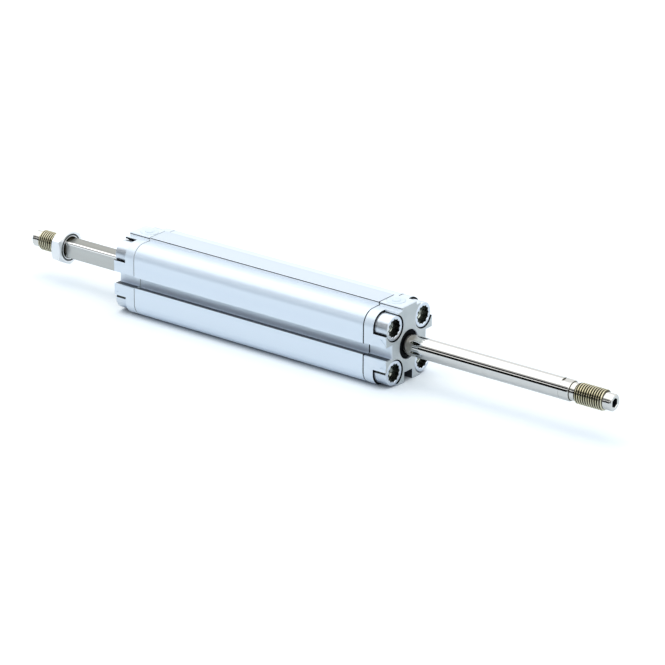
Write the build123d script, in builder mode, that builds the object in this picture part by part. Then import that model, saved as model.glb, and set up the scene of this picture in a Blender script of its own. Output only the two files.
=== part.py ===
from build123d import *

import os
from math import cos, pi, radians, sin, sqrt, tan

# Compact double-acting cylinder with a through rod. A square rod leaves one cap and keeps
# the rod from turning, and a round rod leaves the other cap. Both end in a male thread.
# Millimetres, +X along the rod towards the round end, +Z up. The origin is the centre of
# the round end's mounting face, on the rod axis.

# Overall sizes
bore = 20.0
stroke = 125.0
body_width = 36.0
cap_length = 13.0
bolt_spacing = 22.0
rod_rest_travel = 86.3

# Outer section: raised band along the top
band_width = 11.6
band_height = 1.6
band_flare = 0.15
band_groove_height = 0.4
band_groove_depth = 0.4
barrel_groove_drop = 0.2
cap_groove_drop = 0.45

# Sensor slots in the barrel, plain slots in the caps
slot_depth = 4.8
barrel_slot_mouth = 5.2
barrel_slot_inside = 7.0
slot_lip = 1.4
slot_lip_round = 0.45
cap_slot_width = 6.3

# Screws
pocket_radius = 6.5
pocket_depth = 7.3
corner_cut = 8.8
head_clearance = 0.45
head_recess = 0.3
head_chamfer = 0.5
socket_radius = 4.65
socket_tooth_height = 0.6
socket_points = 12
socket_depth = 3.0
mount_thread_radius = 2.1
mount_thread_depth = 4.4
shank_radius = 3.0
shank_clearance = 0.05
shank_hole_clearance = 0.3
shank_grip = 10.0
tapped_depth = 12.0
core_radius = 2.5

# Cap bores, spigot and joint
spigot_length = 1.5
spigot_clearance = 0.04
joint_line_width = 0.5
joint_line_depth = 0.5
end_chamfer = 0.35
rod_hole_radius = 5.85
wiper_radius = 7.1
wiper_depth = 3.6
wiper_recess = 0.5
wiper_mouth_chamfer = 0.25
bush_radius = 6.6
bush_length = 7.0
fixed_clearance = 0.03
bumper_radius = 7.5
bumper_pocket = 1.4
bumper_proud = 0.3
end_gap = 0.1

# Static seal ring between cap and barrel
cap_seal_groove_depth = 1.1
cap_seal_groove_width = 1.3
cap_seal_wall = 0.45

# Air port, its plug and the passage to the bore
port_offset = 7.7
port_radius = 2.1
port_floor = 7.9
spotface_radius = 4.6
spotface_depth = 0.15
plug_flange_radius = 4.4
plug_flange_height = 0.4
plug_knob_radius = 2.2
plug_knob_height = 0.45
plug_rim_chamfer = 0.15
plug_length = 5.0
plug_clearance = 0.05
passage_radius = 0.8
passage_height = 8.75

# Cast notches in a cap's flanks, beside the slots and open at the mounting face
notch_length = 3.2
notch_top = 7.2
notch_bottom = 4.2
notch_depth = 0.4

# Rods
rod_radius = 5.0
running_clearance = 0.05
square_width = 8.2
square_corner_radius = 0.8
rest_stand_off = 4.5
thread_radius = 5.0
thread_length = 15.0
neck_radius = 4.25
neck_length = 2.9
nose_radius = 4.0
nose_length = 4.2
thread_chamfer = 0.75
shoulder_chamfer = 0.4
nose_chamfer = 0.5
key_socket_width = 4.0
key_socket_depth = 5.0
spanner_width = 9.0
spanner_length = 5.0
stud_radius = 3.0
stud_length = 9.0
stud_clearance = 0.05
stud_hole_spare = 1.5

# Lock nut
nut_wall = 3.0
nut_thickness = 6.0
nut_thread_clearance = 0.03
nut_face_drop = 0.4
nut_chamfer_angle = 30.0
nut_countersink_radius = 5.35

# Piston
piston_land = 0.8
seal_groove_width = 1.8
inner_land = 0.6
magnet_width = 1.8
piston_clearance = 0.3
seal_groove_floor = 7.6
hub_radius = 6.4
magnet_outer_radius = 8.8
side_play = 0.1
guide_clearance = 0.05
stud_seal_width = 0.9
stud_seal_groove = 1.0
seal_lip_rise = 0.8

# Worked-out sizes
half_width = body_width / 2
bolt_offset = bolt_spacing / 2
corner_radius = half_width - bolt_offset
band_top = half_width + band_height
slot_floor = half_width - slot_depth
bore_radius = bore / 2
piston_length = 2 * (piston_land + seal_groove_width + inner_land) + magnet_width
barrel_length = stroke + piston_length + 2 * (spigot_length + bumper_proud + end_gap)
body_length = barrel_length + 2 * cap_length
head_radius = pocket_radius - head_clearance
bush_seat_depth = wiper_depth + bush_length
square_out_travel = stroke - rod_rest_travel
piston_front = -cap_length - spigot_length - bumper_proud - end_gap - square_out_travel
piston_back = piston_front - piston_length
nut_width = 2 * (thread_radius + nut_wall)
round_shoulder = rest_stand_off + rod_rest_travel
square_shoulder = body_length + rest_stand_off + square_out_travel

# Each end plane lies on a cap's mounting face and points outwards, with its y along +Z
round_end = Plane(origin=(0, 0, 0), x_dir=(0, 1, 0), z_dir=(1, 0, 0))
square_end = Plane(origin=(-body_length, 0, 0), x_dir=(0, -1, 0), z_dir=(-1, 0, 0))
# Turn that points two corners of a hexagon up and down
corners_up = 30.0

os.makedirs("parts", exist_ok=True)


def save(piece, name):
    """Label a finished piece and write it under its node name."""
    piece.part.label = name
    export_step(piece.part, f"parts/{name}.step")


def lathe(start, towards):
    """Plane for a turned profile: x along the rod from start, y out from the axis."""
    return Plane(origin=(start, 0, 0), x_dir=(towards, 0, 0), z_dir=(0, -1, 0))


def outer_section():
    """Outline shared by the barrel and both caps: a square with a raised top band."""
    RectangleRounded(body_width, body_width, corner_radius)
    Polygon(
        (-band_width / 2 - band_flare, half_width),
        (0, half_width - band_height),
        (band_width / 2 + band_flare, half_width),
        (band_width / 2, band_top),
        (-band_width / 2, band_top),
        align=None,
    )


def band_grooves(drop, mode):
    """The shadow grooves in both sides of the band, a given drop below its top."""
    with Locations((0, band_top - drop - band_groove_height / 2)):
        with GridLocations(band_width, 0, 2, 1):
            Rectangle(2 * band_groove_depth, band_groove_height, mode=mode)


def three_sides(radius):
    """Places at a distance from the axis on the two flanks and the underside."""
    return PolarLocations(radius, 3, start_angle=180, angular_range=180, endpoint=True)


def at_bolts():
    """The four screw axes."""
    return GridLocations(bolt_spacing, bolt_spacing, 2, 2)


# Barrel: an extruded section with the bore, four screw cores and three sensor slots
with BuildPart() as barrel:
    with BuildSketch(round_end.offset(-cap_length)) as barrel_section:
        outer_section()
        band_grooves(barrel_groove_drop, Mode.SUBTRACT)
        with three_sides(half_width):
            Rectangle(
                slot_depth,
                barrel_slot_mouth,
                align=(Align.MAX, Align.CENTER),
                mode=Mode.SUBTRACT,
            )
        with three_sides(slot_floor):
            Rectangle(
                slot_depth - slot_lip,
                barrel_slot_inside,
                align=(Align.MIN, Align.CENTER),
                mode=Mode.SUBTRACT,
            )
        lips = barrel_section.vertices().filter_by(
            lambda v: abs(max(abs(v.X), abs(v.Y)) - half_width) < 0.01
            and abs(min(abs(v.X), abs(v.Y)) - barrel_slot_mouth / 2) < 0.01
        )
        fillet(lips, slot_lip_round)
        Circle(bore_radius, mode=Mode.SUBTRACT)
        with at_bolts():
            Circle(core_radius, mode=Mode.SUBTRACT)
    extrude(amount=-barrel_length)
    for end in (round_end, square_end):
        with BuildSketch(end.offset(-cap_length)):
            with at_bolts():
                Circle(shank_radius + shank_clearance)
        extrude(amount=-tapped_depth, mode=Mode.SUBTRACT)
save(barrel, "barrel")


def end_cap(end):
    """Cast cap: pockets for the screw heads, seats for the rod's bush and wiper, an air port."""
    with BuildPart() as cap:
        with BuildSketch(end) as cap_section:
            outer_section()
            with three_sides(half_width):
                Rectangle(
                    slot_depth,
                    cap_slot_width,
                    align=(Align.MAX, Align.CENTER),
                    mode=Mode.SUBTRACT,
                )
        extrude(amount=-(cap_length - joint_line_width))
        outer_edges = cap.faces().sort_by(Axis(end.origin, end.z_dir))[-1].outer_wire().edges()
        chamfer(outer_edges, end_chamfer)
        with BuildSketch(end):
            band_grooves(cap_groove_drop, Mode.ADD)
        extrude(amount=-(cap_length - joint_line_width), mode=Mode.SUBTRACT)
        # The set-back strip that shows as a dark line at the joint
        with BuildSketch(end.offset(joint_line_width - cap_length)):
            add(cap_section.sketch_local)
            offset(amount=-joint_line_depth, kind=Kind.INTERSECTION, mode=Mode.REPLACE)
        extrude(amount=-joint_line_width)
        with BuildSketch(end.offset(-cap_length)):
            Circle(bore_radius - spigot_clearance)
        extrude(amount=-spigot_length)
        # Groove for the static seal, outside the spigot
        with BuildSketch(end.offset(-cap_length)):
            Circle(bore_radius + cap_seal_wall + cap_seal_groove_width)
            Circle(bore_radius + cap_seal_wall, mode=Mode.SUBTRACT)
        extrude(amount=cap_seal_groove_depth, mode=Mode.SUBTRACT)
        # Screw pockets, open at the body's corners
        cut_reach = half_width - corner_cut + band_height
        with BuildSketch(end):
            with at_bolts():
                Circle(pocket_radius)
            for side in (-1, 1):
                for level in (-1, 1):
                    with Locations((side * corner_cut, level * corner_cut)):
                        Rectangle(
                            cut_reach,
                            cut_reach,
                            align=(
                                Align.MIN if side > 0 else Align.MAX,
                                Align.MIN if level > 0 else Align.MAX,
                            ),
                        )
        extrude(amount=-pocket_depth, mode=Mode.SUBTRACT)
        with BuildSketch(end.offset(-pocket_depth)):
            with at_bolts():
                Circle(shank_radius + shank_hole_clearance)
        extrude(amount=-cap_length, mode=Mode.SUBTRACT)
        # Rod way: wiper recess, bush seat, free hole, and the bumper's pocket inside
        with BuildSketch(end):
            Circle(wiper_radius)
        extrude(amount=-wiper_depth, mode=Mode.SUBTRACT)
        mouth = cap.edges().filter_by(GeomType.CIRCLE).filter_by(
            lambda e: abs(e.radius - wiper_radius) < 0.001 and abs(end.to_local_coords(e.center()).Z) < 0.001
        )
        chamfer(mouth, wiper_mouth_chamfer)
        with BuildSketch(end):
            Circle(bush_radius)
        extrude(amount=-bush_seat_depth, mode=Mode.SUBTRACT)
        with BuildSketch(end):
            Circle(rod_hole_radius)
        extrude(amount=-(cap_length + spigot_length), mode=Mode.SUBTRACT)
        with BuildSketch(end.offset(-(cap_length + spigot_length))):
            Circle(bumper_radius)
        extrude(amount=bumper_pocket, mode=Mode.SUBTRACT)
        # Air port in the band, and the passage from it into the bore
        port_top = Plane(
            origin=end.from_local_coords((0, band_top, -port_offset)), x_dir=(1, 0, 0), z_dir=(0, 0, 1)
        )
        with BuildSketch(port_top):
            Circle(spotface_radius)
        extrude(amount=-spotface_depth, mode=Mode.SUBTRACT)
        with BuildSketch(port_top):
            Circle(port_radius)
        extrude(amount=-(band_top - port_floor), mode=Mode.SUBTRACT)
        with BuildSketch(end.offset(-(cap_length + spigot_length))):
            with Locations((0, passage_height)):
                Circle(passage_radius)
        extrude(amount=cap_length + spigot_length - port_offset, mode=Mode.SUBTRACT)
        # Notches in the flanks, above and below each slot
        inwards = -end.z_dir.X
        for side in (-1, 1):
            flank = Plane(
                origin=(end.origin.X, side * half_width, 0), x_dir=(inwards, 0, 0), z_dir=(0, side, 0)
            )
            with BuildSketch(flank):
                for level in (-1, 1):
                    Polygon(
                        (0, level * notch_bottom),
                        (0, level * notch_top),
                        (notch_length, level * notch_top),
                        align=None,
                    )
            extrude(amount=-notch_depth, mode=Mode.SUBTRACT)
    return cap


round_rod_cap = end_cap(round_end)
save(round_rod_cap, "round_rod_cap")
square_rod_cap = end_cap(square_end)
save(square_rod_cap, "square_rod_cap")


def cap_screws(end):
    """Four collar screws: star socket in front, a threaded hole behind it for mounting."""
    star = []
    for corner in range(2 * socket_points):
        reach = socket_radius - socket_tooth_height * (corner % 2)
        angle = pi * corner / socket_points
        star.append((reach * cos(angle), reach * sin(angle)))
    with BuildPart() as screws:
        with BuildSketch(end.offset(-pocket_depth)):
            with at_bolts():
                Circle(head_radius)
        extrude(amount=pocket_depth - head_recess)
        front_faces = screws.faces().group_by(Axis(end.origin, end.z_dir))[-1]
        chamfer(front_faces.edges(), head_chamfer)
        with BuildSketch(end.offset(-pocket_depth)):
            with at_bolts():
                Circle(shank_radius)
        extrude(amount=-(cap_length - pocket_depth + shank_grip))
        with BuildSketch(end.offset(-head_recess)):
            with at_bolts():
                Polygon(*star, align=None)
        extrude(amount=-socket_depth, mode=Mode.SUBTRACT)
        with BuildSketch(end.offset(-head_recess - socket_depth)):
            with at_bolts():
                Circle(mount_thread_radius)
        extrude(amount=-mount_thread_depth, mode=Mode.SUBTRACT)
    return screws


save(cap_screws(round_end), "round_cap_screws")
save(cap_screws(square_end), "square_cap_screws")


def port_plug(end):
    """Push-in plug of an air port: a flange on the spotface, a low knob and a stem."""
    seat = Plane(
        origin=end.from_local_coords((0, band_top - spotface_depth, -port_offset)),
        x_dir=(1, 0, 0),
        z_dir=(0, 0, 1),
    )
    with BuildPart() as plug:
        with BuildSketch(seat):
            Circle(plug_flange_radius)
        extrude(amount=plug_flange_height)
        with BuildSketch(seat.offset(plug_flange_height)):
            Circle(plug_knob_radius)
        extrude(amount=plug_knob_height)
        rims = plug.faces().filter_by(Axis.Z).sort_by(Axis.Z)[-2:]
        chamfer(rims[0].outer_wire().edges() + rims[1].edges(), plug_rim_chamfer)
        with BuildSketch(seat):
            Circle(port_radius - plug_clearance)
        extrude(amount=-plug_length)
    return plug


save(port_plug(round_end), "round_end_port_plug")
save(port_plug(square_end), "square_end_port_plug")


def rod_hole(square):
    """Hole that a rod slides in: round, or square with rounded corners."""
    if square:
        across = square_width + 2 * running_clearance
        RectangleRounded(across, across, square_corner_radius + running_clearance, mode=Mode.SUBTRACT)
    else:
        Circle(rod_radius + running_clearance, mode=Mode.SUBTRACT)


def rod_bush(end, square):
    """Plain bearing that guides a rod in its cap."""
    with BuildPart() as bush:
        with BuildSketch(end.offset(-wiper_depth)):
            Circle(bush_radius - fixed_clearance)
            rod_hole(square)
        extrude(amount=-bush_length)
    return bush


def rod_wiper(end, square):
    """Rubber wiper and seal in the mouth of a cap, dished towards the rod."""
    with BuildPart() as wiper:
        with BuildSketch(end.offset(-wiper_recess)):
            Circle(wiper_radius - fixed_clearance)
            rod_hole(square)
        extrude(amount=-(wiper_depth - wiper_recess))
        outer_rim = wiper.faces().sort_by(Axis(end.origin, end.z_dir))[-1].outer_wire().edges()
        chamfer(outer_rim, wiper_recess)
    return wiper


save(rod_bush(round_end, False), "round_rod_bush")
save(rod_bush(square_end, True), "square_rod_bush")
save(rod_wiper(round_end, False), "round_rod_wiper")
save(rod_wiper(square_end, True), "square_rod_wiper")


def bumper(end):
    """Rubber cushioning ring that the piston meets at the end of its stroke."""
    with BuildPart() as ring:
        with BuildSketch(end.offset(-(cap_length + spigot_length - bumper_pocket))):
            Circle(bumper_radius - fixed_clearance)
            Circle(rod_hole_radius, mode=Mode.SUBTRACT)
        extrude(amount=-(bumper_pocket + bumper_proud))
    return ring


def cap_seal(end):
    """Static seal ring of square section in the cap's groove, against the end of the barrel."""
    with BuildPart() as ring:
        with BuildSketch(end.offset(fixed_clearance - cap_length)):
            Circle(bore_radius + cap_seal_wall + cap_seal_groove_width - fixed_clearance)
            Circle(bore_radius + cap_seal_wall + fixed_clearance, mode=Mode.SUBTRACT)
        extrude(amount=cap_seal_groove_depth - 2 * fixed_clearance)
    return ring


save(bumper(round_end), "round_end_bumper")
save(bumper(square_end), "square_end_bumper")
save(cap_seal(round_end), "round_cap_seal")
save(cap_seal(square_end), "square_cap_seal")


def rod_tip(end, shoulder):
    """Turned rod end beyond a shoulder: neck, thread, nose with a hexagonal key socket."""
    thread_start = shoulder + neck_length
    nose_start = thread_start + thread_length
    tip_end = nose_start + nose_length
    with BuildPart() as tip:
        with BuildSketch(lathe(end.origin.X, end.z_dir.X)):
            with BuildLine():
                Polyline(
                    (shoulder, 0),
                    (shoulder, neck_radius),
                    (thread_start, neck_radius),
                    (thread_start, thread_radius),
                    (nose_start - thread_chamfer, thread_radius),
                    (nose_start, nose_radius),
                    (tip_end - nose_chamfer, nose_radius),
                    (tip_end, nose_radius - nose_chamfer),
                    (tip_end, 0),
                    close=True,
                )
            make_face()
        revolve(axis=Axis.X)
        with BuildSketch(end.offset(tip_end)):
            RegularPolygon(key_socket_width / 2, 6, major_radius=False, rotation=corners_up)
        extrude(amount=-key_socket_depth, mode=Mode.SUBTRACT)
    return tip


# Round rod: full diameter from the piston to its shoulder, and a stud through the piston
with BuildPart() as round_rod:
    with BuildSketch(round_end.offset(piston_front)):
        Circle(rod_radius)
    extrude(amount=round_shoulder - piston_front)
    shoulder_rim = round_rod.faces().sort_by(Axis.X)[-1].edges()
    chamfer(shoulder_rim, shoulder_chamfer)
    # Spanner flats, above and below, next to the shoulder
    with BuildSketch(round_end.offset(round_shoulder)):
        with GridLocations(0, spanner_width + rod_radius, 1, 2):
            Rectangle(2 * rod_radius, rod_radius)
    extrude(amount=-spanner_length, mode=Mode.SUBTRACT)
    add(rod_tip(round_end, round_shoulder).part)
    with BuildSketch(round_end.offset(piston_front)):
        Circle(stud_radius)
    extrude(amount=-(piston_length + stud_length))
save(round_rod, "round_rod")

# Square rod: from the piston to its shoulder, bored for the round rod's stud
with BuildPart() as square_rod:
    with BuildSketch(square_end.offset(square_shoulder - body_length)):
        RectangleRounded(square_width, square_width, square_corner_radius)
    extrude(amount=-(square_shoulder + piston_back))
    add(rod_tip(square_end, square_shoulder - body_length).part)
    with BuildSketch(round_end.offset(piston_back)):
        Circle(stud_radius + stud_clearance)
    extrude(amount=-(stud_length + stud_hole_spare), mode=Mode.SUBTRACT)
save(square_rod, "square_rod")

# Lock nut, run home against the square rod's shoulder
with BuildPart() as lock_nut:
    seat = square_end.offset(square_shoulder - body_length)
    with BuildSketch(seat):
        RegularPolygon(nut_width / 2, 6, major_radius=False, rotation=corners_up)
    extrude(amount=nut_thickness)
    # Both faces are chamfered down to a circle a little inside the flats
    face_radius = nut_width / 2 - nut_face_drop
    corner_radius_out = nut_width / sqrt(3) + nut_face_drop
    chamfer_depth = (corner_radius_out - face_radius) * tan(radians(nut_chamfer_angle))
    with BuildSketch(lathe(seat.origin.X, seat.z_dir.X)):
        with BuildLine():
            Polyline(
                (0, 0),
                (0, face_radius),
                (chamfer_depth, corner_radius_out),
                (nut_thickness - chamfer_depth, corner_radius_out),
                (nut_thickness, face_radius),
                (nut_thickness, 0),
                close=True,
            )
        make_face()
    revolve(axis=Axis.X, mode=Mode.INTERSECT)
    with BuildSketch(seat):
        Circle(thread_radius + nut_thread_clearance)
    extrude(amount=nut_thickness, mode=Mode.SUBTRACT)
    mouth_edges = lock_nut.edges().filter_by(GeomType.CIRCLE).filter_by(
        lambda e: abs(e.radius - thread_radius - nut_thread_clearance) < 0.001
    )
    chamfer(mouth_edges, nut_countersink_radius - thread_radius - nut_thread_clearance)
save(lock_nut, "lock_nut")


def piston_half(face, towards):
    """Half piston: outer land, seal groove, inner land and half of the hub for the magnet."""
    land_radius = bore_radius - piston_clearance
    groove_start = piston_land
    groove_end = groove_start + seal_groove_width
    hub_start = groove_end + inner_land
    hub_end = hub_start + magnet_width / 2
    with BuildPart() as half:
        with BuildSketch(lathe(face, towards)):
            with BuildLine():
                Polyline(
                    (0, stud_radius + stud_clearance),
                    (0, land_radius),
                    (groove_start, land_radius),
                    (groove_start, seal_groove_floor),
                    (groove_end, seal_groove_floor),
                    (groove_end, land_radius),
                    (hub_start, land_radius),
                    (hub_start, hub_radius),
                    (hub_end, hub_radius),
                    (hub_end, stud_radius + stud_clearance),
                    close=True,
                )
            make_face()
        revolve(axis=Axis.X)
    return half


# The half next to the round rod also holds the stud's seal ring in a counterbore
with BuildPart() as piston_round_half:
    add(piston_half(piston_front, -1).part)
    with BuildSketch(round_end.offset(piston_front)):
        Circle(stud_radius + stud_clearance + stud_seal_width)
    extrude(amount=-stud_seal_groove, mode=Mode.SUBTRACT)
save(piston_round_half, "piston_round_half")
piston_square_half = piston_half(piston_back, 1)
save(piston_square_half, "piston_square_half")

with BuildPart() as stud_seal:
    with BuildSketch(round_end.offset(piston_front - fixed_clearance)):
        Circle(stud_radius + stud_clearance + stud_seal_width - fixed_clearance)
        Circle(stud_radius + stud_clearance, mode=Mode.SUBTRACT)
    extrude(amount=2 * fixed_clearance - stud_seal_groove)
save(stud_seal, "stud_seal")

piston_middle = (piston_front + piston_back) / 2

# Magnet ring that the sensors in the slots read, between the two halves
with BuildPart() as piston_magnet:
    with BuildSketch(Plane.YZ.offset(piston_middle)):
        Circle(magnet_outer_radius)
        Circle(hub_radius + running_clearance, mode=Mode.SUBTRACT)
    extrude(amount=magnet_width / 2 - side_play, both=True)
save(piston_magnet, "piston_magnet")

# Guide ring over the magnet, the only part of the piston that bears on the bore
with BuildPart() as piston_guide_ring:
    with BuildSketch(Plane.YZ.offset(piston_middle)):
        Circle(bore_radius - guide_clearance)
        Circle(magnet_outer_radius + running_clearance, mode=Mode.SUBTRACT)
    extrude(amount=magnet_width / 2 - side_play, both=True)
save(piston_guide_ring, "piston_guide_ring")


def piston_seal(face, towards):
    """Lip seal in a piston groove: a root on the groove's floor and a lip out to the bore."""
    root = seal_groove_floor + fixed_clearance
    lip = bore_radius - guide_clearance
    back = piston_land + seal_groove_width - side_play
    front = piston_land + side_play
    middle = (front + back) / 2
    waist = lip - seal_lip_rise
    with BuildPart() as seal:
        with BuildSketch(lathe(face, towards)):
            with BuildLine():
                Polyline(
                    (front, root),
                    (front, lip - fixed_clearance),
                    (middle, lip),
                    (back, waist),
                    (back, root),
                    close=True,
                )
            make_face()
        revolve(axis=Axis.X)
    return seal


save(piston_seal(piston_front, -1), "piston_round_side_seal")
save(piston_seal(piston_back, 1), "piston_square_side_seal")
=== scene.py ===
import logging
from collections.abc import Callable
from dataclasses import dataclass
from enum import Enum, IntEnum
from functools import cache
from math import atan2, cos, hypot, pi, radians, sin, tan
from typing import ClassVar

import bmesh
import bpy
import numpy as np
from mathutils import Matrix, Vector


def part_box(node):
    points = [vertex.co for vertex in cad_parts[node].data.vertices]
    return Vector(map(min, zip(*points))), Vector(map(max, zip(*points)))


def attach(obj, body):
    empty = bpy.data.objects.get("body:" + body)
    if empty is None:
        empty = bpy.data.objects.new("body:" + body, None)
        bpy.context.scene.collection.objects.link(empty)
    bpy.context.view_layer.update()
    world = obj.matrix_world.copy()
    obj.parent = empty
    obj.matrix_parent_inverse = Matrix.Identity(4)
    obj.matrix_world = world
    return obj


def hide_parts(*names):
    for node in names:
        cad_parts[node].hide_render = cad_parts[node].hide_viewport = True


# The looks of a compact pneumatic cylinder with a through rod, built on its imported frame.
# Pieces are drawn in millimetres along their own axis, and become meshes in metres.

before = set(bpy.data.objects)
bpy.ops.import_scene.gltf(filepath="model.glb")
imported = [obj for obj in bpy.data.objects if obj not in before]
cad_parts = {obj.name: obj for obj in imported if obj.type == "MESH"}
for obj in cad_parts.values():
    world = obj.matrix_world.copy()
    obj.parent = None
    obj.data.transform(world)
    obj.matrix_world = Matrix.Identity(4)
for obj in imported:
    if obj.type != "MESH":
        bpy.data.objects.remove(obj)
log = logging.getLogger("compact_cylinder")

MM = 0.001
FULL_TURN = 2 * pi
TINY = 1e-9
WHITE = (1.0, 1.0, 1.0, 1.0)
HOUSING = "housing"
PISTON_ROD = "piston_rod"

# Points nearer than this become one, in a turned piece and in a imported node, in millimetres.
WELD = 0.002
NODE_WELD = 0.0005
# Edges that turn by more than this stay sharp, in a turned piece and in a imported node.
SHARP_ANGLE = radians(28)
EASE_ANGLE = radians(32)
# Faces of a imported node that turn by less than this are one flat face.
FLAT_ANGLE = radians(0.5)
# Points to a ring of a rod or nut, points to a ring of a screw, and steps to a quarter circle.
ROD_SEGMENTS = 144
SCREW_SEGMENTS = 120
ARC_STEPS = 4
# Depth of a male thread as a share of its pitch.
THREAD_DEPTH = 0.6134
# Numbers of the sockets of a Mix node that blends colours.
MIX_SHARE, MIX_FIRST, MIX_SECOND, MIX_RESULT = 0, 6, 7, 2
# The middle stretch of a noise, in which nearly all its values lie.
NOISE_LOW, NOISE_HIGH = 0.3, 0.7

Outline = Callable[[np.ndarray], np.ndarray]
Radius = float | np.ndarray | Outline
Colour = tuple[float, float, float]
Socket = bpy.types.NodeSocket
Material = bpy.types.Material


class End(Enum):
    """The two ends of the cylinder, with the X direction that points out of each."""

    ROUND = 1
    SQUARE = -1

    @property
    def word(self) -> str:
        """The word that starts the names of this end's nodes."""
        return self.name.lower()

    @cache
    def face(self) -> float:
        """X of this end's mounting face, in millimetres."""
        low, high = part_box(f"{self.word}_rod_cap")
        return (high.x if self is End.ROUND else low.x) / MM

    def depth(self, x: float) -> float:
        """How far an x of the row frame lies behind this end's mounting face, in millimetres."""
        return (self.face() - x) * self.value

    def place(self) -> Matrix:
        """Matrix from this end's own frame, x outwards from the mounting face, to the row frame."""
        turn = 0.0 if self is End.ROUND else pi
        return Matrix.Translation((self.face(), 0, 0)) @ Matrix.Rotation(turn, 4, "Z")

    def outwards(self, node: str) -> tuple[float, float]:
        """Reach of a node along this end's own x.

        Args:
            node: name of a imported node.

        Returns:
            The lowest and the highest x of the node in this end's frame, in millimetres.
        """
        low, high = sorted(-self.depth(corner.x / MM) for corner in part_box(node))
        return low, high


class Grain(Enum):
    """Which way the marks of a finish run, as marks to the metre along x, y and z."""

    ALONG = (6.0, 900.0, 900.0)
    ROUND_AXIS = (1400.0, 60.0, 60.0)
    EVEN = (700.0, 700.0, 700.0)
    BLOOM = (120.0, 120.0, 120.0)
    CLOUDS = (90.0, 90.0, 90.0)


class RodSlot(IntEnum):
    """Material slots of the rods: TOP and POLISHED are on the square rod alone."""

    BAR = 0
    TURNED = 1
    THREAD = 2
    # Painted shade in thread vees, the neck and the steps into the thread and the flats.
    ROOT = 3
    # Painted shade in the key socket.
    KEY = 4
    # Painted shade on the square rod's upper and lower flats.
    TOP = 5
    # Painted highlight along one corner of the square rod.
    POLISHED = 6


class NutSlot(IntEnum):
    """Material slots of the lock nut."""

    ZINC = 0
    # Painted shade in the bore's thread.
    THREAD = 1
    SHADED = 2


class ScrewSlot(IntEnum):
    """Material slots of the collar screws."""

    ZINC = 0
    # Painted shade on socket walls, the hole's bottom and heads' sides in their pockets.
    DARK = 1
    # Painted shade with paler painted glints on the socket floor and the hole's thread.
    FLOOR = 2


class Zone(IntEnum):
    """The zones of a cap or the barrel, with the material slot of each."""

    SIDE = 0
    # Painted shade in the round end's joint, the band's grooves and the screw pockets.
    GAP = 1
    # Painted shade inside the caps' bottom slots.
    SLOT = 2
    # Painted light on the band's flanks and in the square end's joint.
    FLANK = 3
    # Painted shade on the barrel band's top.
    BAND = 4


def soft_polygon(sides: int, apothem: float, rounding: float) -> Outline:
    """Radius of a regular polygon with rounded corners, by angle.

    Args:
        sides: number of sides, the first of which has its middle at angle 0.
        apothem: distance from the centre to a side.
        rounding: radius at the corners.

    Returns:
        A function from angles to radii.
    """
    half = pi / sides
    centre = (apothem - rounding) / cos(half)
    tangent = atan2(rounding * sin(half), centre + rounding * cos(half))

    def radius(angles: np.ndarray) -> np.ndarray:
        """Radius at each angle."""
        from_side = (angles + half) % (2 * half) - half
        from_corner = half - np.abs(from_side)
        across = np.clip(rounding**2 - (centre * np.sin(from_corner)) ** 2, 0, None)
        return np.where(
            from_corner < tangent,
            centre * np.cos(from_corner) + np.sqrt(across),
            apothem / np.cos(from_side),
        )

    return radius


def star(points: int, outer: float, inner: float) -> Outline:
    """Radius of a star with straight sides, by angle.

    Args:
        points: number of points.
        outer: radius at the points.
        inner: radius between them.

    Returns:
        A function from angles to radii.
    """
    step = pi / points

    def radius(angles: np.ndarray) -> np.ndarray:
        """Radius at each angle."""
        off_point = np.abs((angles + step) % (2 * step) - step)
        bend = outer * inner * sin(step)
        return bend / (outer * np.sin(off_point) + inner * np.sin(step - off_point))

    return radius


def two_flats(radius: float, flat: float) -> Outline:
    """Radius of a circle with one flat above and one below, by angle.

    Args:
        radius: radius of the circle.
        flat: distance from the centre to each flat.

    Returns:
        A function from angles to radii.
    """

    def clipped(angles: np.ndarray) -> np.ndarray:
        """Radius at each angle."""
        return np.minimum(radius, flat / np.maximum(np.abs(np.sin(angles)), TINY))

    return clipped


def quarter(radius: float) -> list[tuple[float, float]]:
    """A quarter circle in steps.

    Args:
        radius: radius of the circle.

    Returns:
        For each step, how far it has left its first side and how far it is from its second.
    """
    angles = [pi / 2 * step / ARC_STEPS for step in range(ARC_STEPS + 1)]
    return [(radius * (1 - cos(angle)), radius * (1 - sin(angle))) for angle in angles]


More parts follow.
